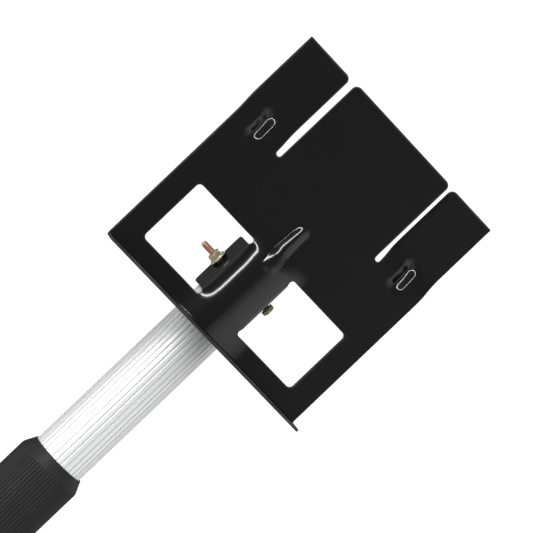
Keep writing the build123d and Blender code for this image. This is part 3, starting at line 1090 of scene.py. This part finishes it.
        soft = self.rim_round * MM
        rows, row_normals = [], []
        for face, sign in ((front, 1), (back, -1)):
            for turn in np.radians([0, 30, 60, 90][::sign]):
                inset, drop = soft * (1 - math.sin(turn)), soft * (1 - math.cos(turn))
                rows.append(face[rim] - push * inset - sign * through[rim] * drop)
                row_normals.append(push * math.sin(turn) + sign * through[rim] * math.cos(turn))
        front[rim], back[rim] = rows[0], rows[-1]
        walls = rows[1:-1]

        total, ring = len(flat), len(rim)
        points = np.concatenate([front, back] + walls)
        faces = [tuple(tri) for tri in tris.tolist()]
        faces += [(c + total, b + total, a + total) for a, b, c in tris.tolist()]

        def spot_of(level: int, spot: int) -> int:
            """Number a rim point.

            Args:
                level: 0 on the front face, then on through the walls to the back face.
                spot: its number on the flat sheet.

            Returns:
                Its vertex number.
            """
            if level == 0:
                return spot
            if level == len(rows) - 1:
                return spot + total
            return 2 * total + (level - 1) * ring + number[spot]

        for a, b in border:
            for level in range(len(rows) - 1):
                below = level + 1
                faces.append((spot_of(level, b), spot_of(level, a), spot_of(below, a), spot_of(below, b)))
        worn = np.zeros(len(points))
        worn[rim] = 1
        worn[np.array(rim) + total] = 1
        worn[2 * total:] = 1
        thin = self.on_ears(across, up)
        thin = np.concatenate([thin, thin] + [thin[rim]] * len(walls))
        piece = mesh_piece("sign_holder", points, faces, [self.palette.enamel], {"rim": worn, "thin": thin})
        shading = np.concatenate([normal, -normal] + row_normals[1:-1])
        piece.data.normals_split_custom_set_from_vertices(shading.tolist())
        attach(piece, Body.INNER, "black_enamel", "sign_bracket")


# ------------------------------------------------------------------ cross bolt
def hexagon_radius(turns: np.ndarray, flats: float) -> np.ndarray:
    """Return the radius of a hexagon at each angle, flat side at angle zero."""
    sector = math.pi / 3
    return flats / 2 / np.cos((turns + sector / 2) % sector - sector / 2)


@dataclass
class CrossBolt:
    """Hex bolt, washer and nut across the clamp ears. Sizes are in millimetres."""

    palette: Palette
    flats: float = 7.0
    hex_points: int = 72
    hex_sharp_deg: float = 35.0
    head_height: float = 2.8
    head_spring: float = 1.15
    head_foot: float = 0.12
    foot_chamfer: float = 0.25
    diameter: float = 4.0
    thread_points: int = 40
    pitch: float = 0.7
    steps_per_pitch: int = 9
    thread_depth: float = 0.38
    crest_inset: float = 0.02
    flank: float = 1.25
    crest_flat: float = 0.08
    tip_inset: float = 0.75
    tip_slope: float = 0.85
    tip_end_inset: float = 0.5
    pale_run: float = 0.55
    rosy_inset: float = 0.5
    nut_height: float = 3.2
    nut_turn_deg: float = 11.0
    nut_chamfer: float = 0.62
    nut_chamfer_rise: float = 0.45
    nut_bore_inset: float = 0.3
    nut_mouth: float = 0.35
    nut_flare: tuple[float, float] = (0.62, 0.6)
    washer_diameter: float = 10.0
    washer_bore: float = 2.15
    washer_thickness: float = 1.0
    washer_round: float = 0.28
    washer_bore_round: float = 0.1

    def __post_init__(self) -> None:
        """Find the bolt's line and the faces that its parts bear on."""
        low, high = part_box("clamp_bolt")
        _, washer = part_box("clamp_washer")
        self.line_z = (low.z + high.z) / 2
        self.tail = low.x / MM
        self.bearing = washer.x / MM
        self.hex_corner = self.flats / 2 / math.cos(math.pi / 6)

    def laid(self, start: float, towards: int) -> Matrix:
        """Return the placement of a shape drawn along +Z that starts at x and points along X."""
        turn = Matrix.Rotation(math.radians(90 * towards), 4, "Y")
        return Matrix.Translation((start * MM, 0, self.line_z)) @ turn

    def hexed(self, turns: np.ndarray, limit: float) -> np.ndarray:
        """Return a hexagon's radii in metres, cut down to a turned limit."""
        return np.minimum(hexagon_radius(turns, self.flats), limit) * MM

    def make_head(self) -> None:
        """Build the bolt's head, with a turned chamfer and a shallow dome."""
        turning = Turning("bolt_head", self.hex_points, self.hex_sharp_deg)
        turns, corner = turning.turns(), self.hex_corner
        rings: list[Ring] = [(0.0, self.hexed(turns, corner - self.foot_chamfer), 0.5),
                             (self.head_foot * MM, self.hexed(turns, corner), 0)]
        for tilt in np.radians([0, 14, 26, 36, 46, 56, 66, 75, 82, 87]):
            height = self.head_spring + (self.head_height - self.head_spring) * math.sin(tilt)
            rings.append((height * MM, self.hexed(turns, corner * math.cos(tilt)), 0))
        piece = turning.make(rings, self.palette.yellow_zinc, self.laid(-self.bearing, 1))
        attach(piece, Body.INNER, "yellow_zinc", "clamp_bolt")

    def make_shank(self) -> None:
        """Build the bolt's shank, rosy between its pale turned tip and its yellow part by the washer."""
        turning = Turning("bolt_thread", self.thread_points, sharp_deg=80)
        turns, half = turning.turns(), self.diameter / 2
        rings: list[Ring] = []
        for height in np.arange(0, -self.bearing - self.tail + 1e-6, self.pitch / self.steps_per_pitch):
            phase = (height / self.pitch - turns / TAU) % 1
            tooth = np.clip(np.abs(phase - 0.5) * 2 * self.flank - self.crest_flat, 0, 1)
            radius = half - self.crest_inset - self.thread_depth * tooth
            tip = half - self.tip_inset + height * self.tip_slope
            rings.append((height * MM, np.minimum(radius, tip) * MM, tooth * 0.8))
        rings.append((rings[-1][0] + 0.01 * MM, (half - self.tip_end_inset) * MM, 0))
        piece = turning.make(rings, self.palette.copper_zinc, self.laid(self.tail, 1))
        piece.data.materials.append(self.palette.pale_zinc)
        piece.data.materials.append(self.palette.yellow_zinc)
        pale_end, rosy_end = (self.tail + self.pale_run) * MM, (self.bearing - self.rosy_inset) * MM
        for face in piece.data.polygons:
            face.material_index = 1 if face.center.x < pale_end else 2 if face.center.x > rosy_end else 0
        attach(piece, Body.INNER, "yellow_zinc", "clamp_bolt")

    def make_nut(self) -> None:
        """Build the hex nut, chamfered on both faces, on the bolt's thread."""
        turning = Turning("clamp_nut_piece", self.hex_points, self.hex_sharp_deg)
        turns = turning.turns() + math.radians(self.nut_turn_deg)
        top, mouth = self.nut_height, self.nut_mouth
        bore = self.diameter / 2 - self.nut_bore_inset
        wall = [(share, self.hexed(turns, self.hex_corner - self.nut_chamfer * share))
                for share in (1.0, 0.6, 0.3, 0.0)]
        rings: list[Ring] = [(self.nut_chamfer_rise * (1 - share) * MM, radii, 0) for share, radii in wall]
        rings += [((top - self.nut_chamfer_rise * (1 - share)) * MM, radii, 0) for share, radii in wall[::-1]]
        outer_flare, inner_flare = self.nut_flare
        rings += [(top * MM, (bore + outer_flare) * MM, 0), ((top - mouth) * MM, bore * MM, 0.8),
                  (mouth * MM, bore * MM, 0.8), (0.0, (bore + inner_flare) * MM, 0)]
        start = self.bearing - self.washer_thickness
        piece = turning.make(rings, self.palette.yellow_zinc, self.laid(start, -1), looped=True)
        attach(piece, Body.INNER, "yellow_zinc", "clamp_nut")

    def make_washer(self) -> None:
        """Build the flat washer with its rolled outer edge."""
        outer, thick = self.washer_diameter / 2 * MM, self.washer_thickness * MM
        bore, soft = self.washer_bore * MM, self.washer_bore_round * MM
        rings = rounded_rings(outer, 0, thick, self.washer_round * MM)
        rings += [(thick, bore + soft, 0), (thick - soft, bore, 0), (soft, bore, 0), (0.0, bore + soft, 0)]
        turning = Turning("clamp_washer_piece", count=96, sharp_deg=60)
        piece = turning.make(rings, self.palette.pale_zinc, self.laid(self.bearing, -1), looped=True)
        attach(piece, Body.INNER, "bright_zinc", "clamp_washer")

    def make(self) -> None:
        """Build every part of the bolt."""
        self.make_head()
        self.make_shank()
        self.make_nut()
        self.make_washer()


# ------------------------------------------------------------------ tubes and grips
@dataclass
class FlutedTube:
    """Drawn tube with shallow lengthwise flutes. Sizes are in millimetres."""

    palette: Palette
    node: str
    body: Body
    wall: float
    flutes: int = 32
    groove_half: float = 0.76
    groove_depth: float = 0.24
    crown: float = 0.06
    soften: float = 0.3
    sharp_deg: float = 70.0
    flute_places: tuple[float, ...] = (0, 0.16, 0.32, 0.48, 0.62, 0.74, 0.86, 1.1)

    def make(self) -> None:
        """Build the tube with softened ends."""
        low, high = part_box(self.node)
        radius = (high.y - low.y) / 2 / MM
        pitch = TAU * radius / self.flutes
        half = self.flute_places + (pitch / 2,)
        places = [-place for place in half[:0:-1]] + list(half[:-1])
        angles = np.concatenate([(index * pitch + np.array(places)) / radius for index in range(self.flutes)])
        away = np.tile(np.abs(places), self.flutes)
        dip = 0.5 * (1 + np.cos(np.pi * np.clip(away / self.groove_half, 0, 1)))
        land = self.crown * ((away - pitch / 2) / (pitch / 2)) ** 2
        section = radius - self.groove_depth * dip - land * (1 - dip)
        full, cut = section * MM, (section - self.soften) * MM
        bore, soft = (radius - self.wall) * MM, self.soften * MM
        rings: list[Ring] = [(low.z, cut, dip), (low.z + soft, full, dip),
                             (high.z - soft, full, dip), (high.z, cut, dip),
                             (high.z, bore + soft, 0), (high.z - soft, bore, 0),
                             (low.z + soft, bore, 0), (low.z, bore + soft, 0)]
        turning = Turning(self.node + "_drawn", len(angles), self.sharp_deg, angles)
        piece = turning.make(rings, self.palette.aluminium, Matrix.Identity(4), looped=True)
        attach(piece, self.body, "bright_aluminium", self.node)


class GripEnd(Enum):
    """How a grip's upper end is finished."""

    LIP = "lip"
    PLAIN = "plain"


@dataclass
class RibbedGrip:
    """Moulded rubber sleeve with fine lengthwise ribs. Sizes are in millimetres."""

    palette: Palette
    node: str
    end: GripEnd
    bore: float = 35.0
    ribs: int = 64
    per_rib: int = 10
    rib_depth: float = 0.42
    rib_top: float = 0.52
    rib_flank: float = 0.42
    smooth_run: float = 6.4
    foot_smooth: float = 3.0
    rib_fade: float = 1.4
    shoulder: float = 8.0
    shoulder_reach: float = 1.3
    shoulder_share: float = 0.86
    shoulder_blend: float = 0.55
    lip_radius: float = 16.65
    lip_edge: float = 0.3
    lip_bore: float = 16.225
    lip_depth: float = 5.0
    lip_ledge: float = 0.1
    lip_soften: float = 0.15
    lip_mouth: float = 0.12
    end_round: float = 1.2
    sharp_deg: float = 60.0
    inner_hollow: float = 0.3
    upper_rings: tuple[float, ...] = (
        0, 0.08, 0.25, 0.5, 0.9, 1.4, 2, 2.8, 3.8, 5, 6.0, 6.4, 6.9, 7.4, 7.9, 8.6, 10)
    lower_rings: tuple[float, ...] = (5.0, 4.2, 3.4, 3.0, 1.2, 0.7, 0.35, 0.1, 0)

    def section(self, turns: np.ndarray) -> np.ndarray:
        """Return how deep the groove is at each angle, from 0 on a rib to 1."""
        phase = np.abs(((turns * self.ribs / TAU) % 1) - 0.5) * 2
        return eased(phase, self.rib_top, self.rib_flank)

    def ribbed(self, past: float) -> float:
        """Return how deep the ribs are cut this far past a smooth end, from 0 to 1."""
        return float(smoothstep(np.array(past / self.rib_fade)))

    def rounded(self, inwards: float) -> float:
        """Return how far a rounded end draws in, this far inwards from it."""
        short = max(self.end_round - inwards, 0)
        return self.end_round - math.sqrt(max(self.end_round ** 2 - short ** 2, 0))

    def outer(self, down: float, radius: float) -> float:
        """Shape the sleeve's upper end.

        Args:
            down: distance below its top.
            radius: the sleeve's full radius.

        Returns:
            The outer radius there.
        """
        if self.end is GripEnd.PLAIN or down >= self.shoulder * self.shoulder_reach:
            return radius - self.rounded(down)
        slope = (radius - self.lip_radius) / (self.shoulder * self.shoulder_share)
        gap = self.lip_radius + down * slope - radius
        soft = -float(smooth_max(np.array(-gap), np.array(0.0), self.shoulder_blend))
        edge = max(self.lip_edge - down, 0) / self.lip_edge
        return radius + soft - self.lip_edge * (1 - math.sqrt(1 - edge ** 2))

    def make(self) -> None:
        """Build the sleeve."""
        low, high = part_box(self.node)
        radius = (high.y - low.y) / 2 / MM
        length = (high.z - low.z) / MM
        turning = Turning(self.node + "_sleeve", self.ribs * self.per_rib, self.sharp_deg)
        groove = self.section(turning.turns())
        downs = list(self.upper_rings) + np.linspace(20, length - 12, 10).tolist()
        rings: list[Ring] = []
        for down in downs:
            cut = groove * self.ribbed(down - self.smooth_run)
            rings.append((high.z - down * MM, (self.outer(down, radius) - self.rib_depth * cut) * MM, cut))
        for up in self.lower_rings:
            cut = groove * self.ribbed(up - self.foot_smooth)
            rings.append((low.z + up * MM, (radius - self.rounded(up) - self.rib_depth * cut) * MM, cut))
        bore, lip, hollow = self.bore / 2 * MM, self.lip_bore * MM, self.inner_hollow
        rings.append((low.z, bore, hollow))
        if self.end is GripEnd.LIP:
            seat = high.z - self.lip_depth * MM
            rings += [(seat, bore, hollow), (seat + self.lip_ledge * MM, lip, hollow),
                      (high.z - self.lip_soften * MM, lip, hollow), (high.z, lip + self.lip_mouth * MM, 0.1)]
        else:
            rings.append((high.z, bore, hollow))
        piece = turning.make(rings[::-1], self.palette.rubber, Matrix.Identity(4), looped=True)
        attach(piece, Body.OUTER, "black_rubber", self.node)


@dataclass
class StaffFoot:
    """Rubber foot with gripping rings and a tread. Sizes are in millimetres."""

    palette: Palette
    taper: float = 1.4
    bore: float = 17.5
    floor: float = 8.0
    floor_hole: float = 1.2
    tread: tuple[tuple[float, float], ...] = (
        (1.2, 0.4), (4.0, 0.4), (4.6, 0.0), (7.4, 0.0), (8.0, 0.5), (9.2, 0.5), (9.8, 0.0), (12.6, 0.0),
        (13.2, 0.5), (14.4, 0.5), (15.0, 0.0))
    toe: tuple[tuple[float, float], ...] = ((-1.4, 0.0), (-0.5, 0.35), (-0.1, 0.9), (0.0, 1.6))
    rings: int = 5
    ring_start: float = 5.0
    ring_spacing: float = 2.6
    ring_groove: tuple[tuple[float, float], ...] = ((0, 0), (0.35, 0.55), (0.8, 0.7), (1.25, 0.55), (1.6, 0))
    wall_rings: tuple[float, ...] = (22, 30, 38)
    rim_rings: tuple[float, ...] = (1.2, 0.5, 0.1, 0)
    rim_run: float = 1.2
    rim_draw: float = 0.55

    def make(self) -> None:
        """Build the foot, from its tread's middle out and up to its rim, then down its bore."""
        low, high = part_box("rubber_tip")
        height, radius = (high.z - low.z) / MM, (high.y - low.y) / 2 / MM
        profile = list(self.tread) + [(radius + inset, up) for inset, up in self.toe]
        rings: list[Ring] = [(low.z + up * MM, reach * MM, 0.2) for reach, up in profile]
        for index in range(self.rings):
            start = self.ring_start + index * self.ring_spacing
            for offset, dip in self.ring_groove:
                up = start + offset
                reach = radius - up / height * self.taper - dip
                rings.append((low.z + up * MM, reach * MM, min(dip * 1.4, 1)))
        for up in self.wall_rings + tuple(height - down for down in self.rim_rings):
            edge = max(0, up - height + self.rim_run)
            reach = radius - up / height * self.taper - edge ** 2 * self.rim_draw
            rings.append((low.z + up * MM, reach * MM, 0))
        bore, floor = self.bore * MM, low.z + self.floor * MM
        rings += [(high.z, bore, 0.4), (floor, bore, 0.4), (floor, self.floor_hole * MM, 0.4)]
        turning = Turning("foot_ferrule", count=112, sharp_deg=60)
        piece = turning.make(rings, self.palette.rubber, Matrix.Identity(4), looped=True)
        attach(piece, Body.OUTER, "black_rubber", "rubber_tip")


@dataclass
class TubeCap:
    """Cap in the inner tube's open top. Sizes are in millimetres."""

    palette: Palette
    rim_height: float = 1.5
    rim_round: float = 0.75
    rim_inset: float = 0.25
    spigot: float = 14.57
    bore: float = 12.6
    bore_chamfer: tuple[float, float] = (0.6, 0.4)
    spigot_chamfer: tuple[float, float] = (0.5, 0.4)
    dish: float = 0.5
    dish_rim: tuple[float, float] = (3.2, 4.2)
    gate: tuple[float, float] = (3.0, 0.3)
    roof: float = 0.3

    def make(self) -> None:
        """Build the cap with its rounded rim, dished top and hollow spigot."""
        low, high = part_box("top_plug")
        reach = (high.y - low.y) / 2 / MM
        seat, dish = high.z - self.rim_height * MM, high.z - self.dish * MM
        bore, spigot, soft = self.bore * MM, self.spigot * MM, self.rim_round
        (bore_up, bore_out), (spigot_up, spigot_in) = self.bore_chamfer, self.spigot_chamfer
        rings: list[Ring] = [(low.z + bore_up * MM, bore, 0.4), (low.z, bore + bore_out * MM, 0.2),
                             (low.z, spigot - spigot_in * MM, 0.2), (low.z + spigot_up * MM, spigot, 0),
                             (seat, spigot, 0), (seat, (reach - self.rim_inset) * MM, 0)]
        for turn in np.radians([20, 45, 70, 90]):
            drop, draw = soft * (1 - math.sin(turn)), soft * (1 - math.cos(turn))
            rings.append((high.z - drop * MM, (reach - draw) * MM, 0))
        rim, floor = self.dish_rim
        wide, narrow = self.gate
        roof = seat - self.roof * MM
        rings += [(high.z, (reach - rim) * MM, 0), (dish, (reach - floor) * MM, 0.4),
                  (dish, wide * MM, 0), (dish, narrow * MM, 0.2), (roof, narrow * MM, 0.4), (roof, bore, 0.4)]
        turning = Turning("tube_cap", count=96, sharp_deg=45)
        piece = turning.make(rings, self.palette.black_plastic, Matrix.Identity(4), looped=True)
        attach(piece, Body.INNER, "black_plastic", "top_plug")


@dataclass
class TwistLock:
    """Plastic and steel parts inside the tubes, which keep their CAD shapes."""

    palette: Palette

    def make(self) -> None:
        """Dress every part of the lock, the bush and the end plug."""
        for node in ("cam_plug", "collar_bush", "end_plug"):
            dress(node, self.palette.black_plastic)
        for node in ("guide_ring", "cam_ring"):
            dress(node, self.palette.pale_plastic)
        for node in ("cam_plug_pins", "cam_retaining_washer", "cam_retaining_screw"):
            dress(node, self.palette.bright_zinc)


# ------------------------------------------------------------------ studio
def heading(azimuth_deg: float, elevation_deg: float) -> Vector:
    """Turn two angles round the holder into a direction.

    Args:
        azimuth_deg: turn about the staff, 0 straight out of the holder's front.
        elevation_deg: climb above level.

    Returns:
        The unit vector away from the holder.
    """
    azimuth, elevation = math.radians(azimuth_deg), math.radians(elevation_deg)
    level = math.cos(elevation)
    return Vector((math.sin(azimuth) * level, -math.cos(azimuth) * level, math.sin(elevation)))


@dataclass(frozen=True)
class Softbox:
    """A soft rectangular light aimed at the holder. Angles are in degrees round it, sizes in metres."""

    name: str
    azimuth: float
    elevation: float
    distance: float
    width: float
    height: float
    power: float

    def make(self, aim: Vector) -> None:
        """Hang the light.

        Args:
            aim: the point it shines at.
        """
        light = bpy.data.lights.new(self.name, "AREA")
        light.shape = "RECTANGLE"
        light.size, light.size_y, light.energy = self.width, self.height, self.power
        lamp = bpy.data.objects.new(self.name, light)
        away = heading(self.azimuth, self.elevation)
        lamp.location = aim + away * self.distance
        lamp.rotation_euler = away.to_track_quat("Z", "Y").to_euler()
        bpy.context.scene.collection.objects.link(lamp)


@dataclass
class Studio:
    """Pale floor, soft lights and the camera.

    Angles are in degrees and lengths in metres, but the lens and sensor are in millimetres.
    """

    palette: Palette
    aim_behind_flange: float = 0.0215
    aim_above_foot: float = 0.04868
    camera_azimuth: float = 11.23
    camera_elevation: float = -0.41
    camera_roll: float = 46.4
    camera_distance: float = 1.3224
    lens: float = 168.86
    sensor: float = 36.0
    floor_radius: float = 3.0
    backdrop: float = 1.15
    bright_side: float = 1.0
    dim_side: float = 0.18
    side_azimuth: float = 76.0
    glow_start: float = 0.42
    glow_full: float = 0.9
    floor_points: int = 96

    def __post_init__(self) -> None:
        """Aim at the holder's front face."""
        low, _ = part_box("sign_bracket")
        self.aim = Vector((0, low.y + self.aim_behind_flange, low.z + self.aim_above_foot))

    def make_camera(self) -> None:
        """Place the camera at its angle to the holder."""
        ahead = -heading(-self.camera_azimuth, self.camera_elevation)
        level = ahead.cross(Vector((0, 0, 1))).normalized()
        upright = level.cross(ahead)
        roll = math.radians(self.camera_roll)
        right = level * math.cos(roll) + upright * math.sin(roll)
        above = upright * math.cos(roll) - level * math.sin(roll)
        lens = bpy.data.cameras.new("camera")
        lens.lens, lens.sensor_width = self.lens, self.sensor
        camera = bpy.data.objects.new("camera", lens)
        turn = Matrix((right, above, -ahead)).transposed().to_4x4()
        camera.matrix_world = Matrix.Translation(self.aim - ahead * self.camera_distance) @ turn
        bpy.context.scene.collection.objects.link(camera)
        bpy.context.scene.camera = camera

    def make_floor(self) -> None:
        """Lay the round pale floor."""
        count = self.floor_points
        turns = np.arange(count) / count * TAU
        points = np.stack([np.cos(turns), np.sin(turns), np.zeros(count)], 1) * self.floor_radius
        floor = mesh_piece("studio_floor", points, [tuple(range(count))], [self.palette.paper], {})

    def make_world(self) -> None:
        """Set surroundings that glow from one side, before a plain white backdrop."""
        world = bpy.data.worlds.new("studio")
        bpy.context.scene.world = world
        shader = Shader("studio", world)
        seen = shader.node("ShaderNodeBackground", {}, {"Color": grey(1), "Strength": self.backdrop})
        side = heading(self.side_azimuth, 0)
        ray = shader.node("ShaderNodeTexCoord", {}, {}, "Generated")
        facing = shader.node("ShaderNodeVectorMath", {"operation": "DOT_PRODUCT"}, {0: ray, 1: side}, "Value")
        stops = (self.glow_start, self.dim_side), (self.glow_full, self.bright_side)
        glow = shader.ramp(facing, *stops)
        dim = shader.node("ShaderNodeBackground", {}, {"Color": glow, "Strength": 1.0})
        direct = shader.node("ShaderNodeLightPath", {}, {}, "Is Camera Ray")
        mixed = shader.node("ShaderNodeMixShader", {}, {0: direct, 1: dim, 2: seen})
        shader.node("ShaderNodeOutputWorld", {}, {"Surface": mixed})

    def make(self) -> None:
        """Build the whole studio."""
        bpy.context.scene.view_settings.view_transform = "Standard"
        self.make_floor()
        self.make_world()
        Softbox("key_strip", azimuth=-45, elevation=21, distance=1.35,
                width=0.12, height=2.5, power=26).make(self.aim)
        Softbox("left_fill", azimuth=-98, elevation=6, distance=1.6,
                width=1.2, height=1.8, power=4).make(self.aim)
        Softbox("back_fill", azimuth=165, elevation=50, distance=2.3,
                width=1.6, height=1.6, power=30).make(self.aim)
        self.make_camera()


def corners(box: tuple[Sequence[float], Sequence[float]]) -> list[list[float]]:
    """Return a box's corners as plain lists."""
    return [[float(number) for number in corner] for corner in box]


def main() -> None:
    """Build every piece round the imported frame."""
    logging.basicConfig(level=logging.INFO, format="%(name)s: %(message)s")
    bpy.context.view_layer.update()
    palette = Palette()
    SignHolder(palette).make()
    CrossBolt(palette).make()
    FlutedTube(palette, "inner_tube", Body.INNER, wall=1.3).make()
    FlutedTube(palette, "outer_tube", Body.OUTER, wall=1.25).make()
    RibbedGrip(palette, "upper_grip", GripEnd.LIP).make()
    RibbedGrip(palette, "lower_grip", GripEnd.PLAIN).make()
    StaffFoot(palette).make()
    TubeCap(palette).make()
    TwistLock(palette).make()
    Studio(palette).make()


if __name__ == "__main__":
    main()
